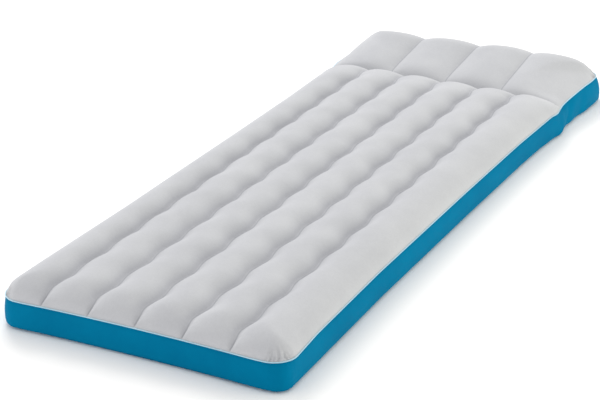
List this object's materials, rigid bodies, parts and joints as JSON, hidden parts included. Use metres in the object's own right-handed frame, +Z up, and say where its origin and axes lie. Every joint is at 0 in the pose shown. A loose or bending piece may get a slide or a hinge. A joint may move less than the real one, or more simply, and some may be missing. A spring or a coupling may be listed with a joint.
{
  "type": "air mattress",
  "caption": "Single camping air mattress with lengthwise wavy air tubes, a raised pillow at the head end, a flocked top, a blue side band and a two-in-one valve in the head-end wall.",
  "frame": {"origin": "centre of the underside, on the floor", "axes": "+Z up, +Y to the head end, where the pillow is, +X to the right of someone who looks from the foot to the head"},
  "size_m": [0.666, 1.8467, 0.1194],
  "materials": {
    "flocked_top": "short velvety nap, matte",
    "blue_vinyl": "satin, fine grain",
    "beam_vinyl": "satin",
    "valve_plastic": "semi-gloss moulded",
    "soft_seal": "matte"
  },
  "bodies": {
    "mattress": {"top_sheet": "flocked_top", "side_band": "blue_vinyl", "bottom_sheet": "blue_vinyl", "beam_1": "beam_vinyl", "beam_2": "beam_vinyl", "beam_3": "beam_vinyl", "beam_4": "beam_vinyl", "beam_5": "beam_vinyl", "cross_beam": "beam_vinyl", "pillow_beam_1": "beam_vinyl", "pillow_beam_2": "beam_vinyl", "pillow_beam_3": "beam_vinyl", "valve_patch": "blue_vinyl", "valve_base": "valve_plastic", "base_seal": "soft_seal"},
    "plug": {"deflation_plug": "valve_plastic", "flap_clip": "valve_plastic", "cap_strap": "valve_plastic"},
    "flap": {"check_flap": "soft_seal"},
    "cap": {"inflation_cap": "valve_plastic", "cap_seal": "soft_seal"}
  },
  "joints": [
    {"name": "plug_pull", "type": "slide", "parent": "mattress", "child": "plug", "axis": [0, 1, 0], "range_m": [0, 0.024]},
    {"name": "cap_flip", "type": "hinge", "parent": "plug", "child": "cap", "pos_m": [-0.1836, 0.9253, 0.0355], "axis": [0, 0, -1], "range_deg": [0, 135]},
    {"name": "check_flap", "type": "hinge", "parent": "plug", "child": "flap", "pos_m": [-0.2, 0.9033, 0.0458], "axis": [-1, 0, 0], "range_deg": [0, 60], "stiffness_Nm_per_rad": 0.0002}
  ]
}
